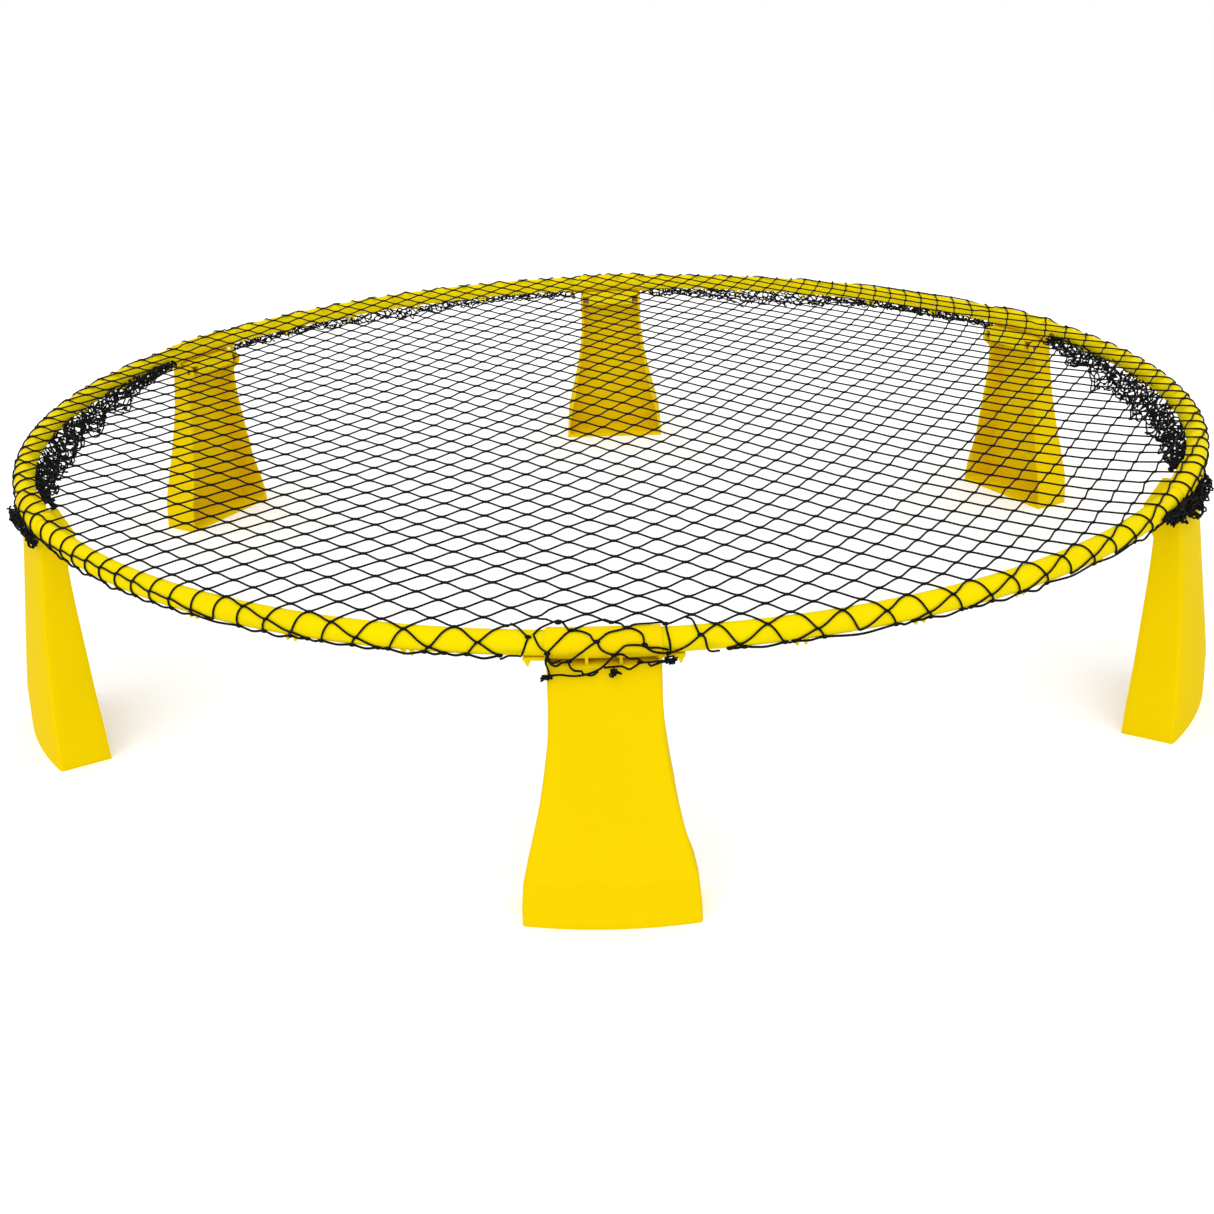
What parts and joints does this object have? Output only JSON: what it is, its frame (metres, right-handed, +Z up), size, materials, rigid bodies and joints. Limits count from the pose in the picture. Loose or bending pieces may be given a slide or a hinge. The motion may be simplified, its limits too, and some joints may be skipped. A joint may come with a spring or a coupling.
{
  "type": "roundnet set",
  "caption": "Low round net stretched over a ring of plugged tubes, standing on flared legs that fold in under it.",
  "frame": {"origin": "on the floor under the centre of the ring", "axes": "+Z up; -Y towards the front leg; +X to the right seen from the front"},
  "size_m": [0.917, 0.9568, 0.1801],
  "materials": {
    "rim_plastic": "satin yellow",
    "socket_plastic": "satin yellow",
    "leg_plastic": "satin yellow",
    "pin_steel": "satin",
    "net_cord": "matt black cord"
  },
  "bodies": {
    "rim": {"rim_tube_1": "rim_plastic", "leg_socket_1": "socket_plastic", "hinge_pin_1": "pin_steel", "net_edge_1": "net_cord", "rim_tube_2": "rim_plastic", "leg_socket_2": "socket_plastic", "hinge_pin_2": "pin_steel", "net_edge_2": "net_cord", "rim_tube_3": "rim_plastic", "leg_socket_3": "socket_plastic", "hinge_pin_3": "pin_steel", "net_edge_3": "net_cord", "rim_tube_4": "rim_plastic", "leg_socket_4": "socket_plastic", "hinge_pin_4": "pin_steel", "net_edge_4": "net_cord", "rim_tube_5": "rim_plastic", "leg_socket_5": "socket_plastic", "hinge_pin_5": "pin_steel", "net_edge_5": "net_cord", "rim_tube_6": "rim_plastic", "leg_socket_6": "socket_plastic", "hinge_pin_6": "pin_steel", "net_edge_6": "net_cord", "net_bed": "net_cord", "net_bunch_right": "net_cord", "net_bunch_left": "net_cord", "net_bunch_back_right": "net_cord", "net_bunch_back_left": "net_cord", "net_gather_right": "net_cord", "net_gather_left": "net_cord"},
    "leg_1": {"leg_1": "leg_plastic"},
    "leg_2": {"leg_2": "leg_plastic"},
    "leg_3": {"leg_3": "leg_plastic"},
    "leg_4": {"leg_4": "leg_plastic"},
    "leg_5": {"leg_5": "leg_plastic"},
    "leg_6": {"leg_6": "leg_plastic"}
  },
  "joints": [
    {"name": "leg_1_fold", "type": "hinge", "parent": "rim", "child": "leg_1", "pos_m": [0, -0.436, 0.1535], "axis": [1, 0, 0], "range_deg": [0, 90]},
    {"name": "leg_2_fold", "type": "hinge", "parent": "rim", "child": "leg_2", "pos_m": [0.37759, -0.218, 0.1535], "axis": [0.5, 0.866, 0], "range_deg": [0, 90]},
    {"name": "leg_3_fold", "type": "hinge", "parent": "rim", "child": "leg_3", "pos_m": [0.37759, 0.218, 0.1535], "axis": [-0.5, 0.866, 0], "range_deg": [0, 90]},
    {"name": "leg_4_fold", "type": "hinge", "parent": "rim", "child": "leg_4", "pos_m": [0, 0.436, 0.1535], "axis": [-1, 0, 0], "range_deg": [0, 90]},
    {"name": "leg_5_fold", "type": "hinge", "parent": "rim", "child": "leg_5", "pos_m": [-0.37759, 0.218, 0.1535], "axis": [-0.5, -0.866, 0], "range_deg": [0, 90]},
    {"name": "leg_6_fold", "type": "hinge", "parent": "rim", "child": "leg_6", "pos_m": [-0.37759, -0.218, 0.1535], "axis": [0.5, -0.866, 0], "range_deg": [0, 90]}
  ]
}
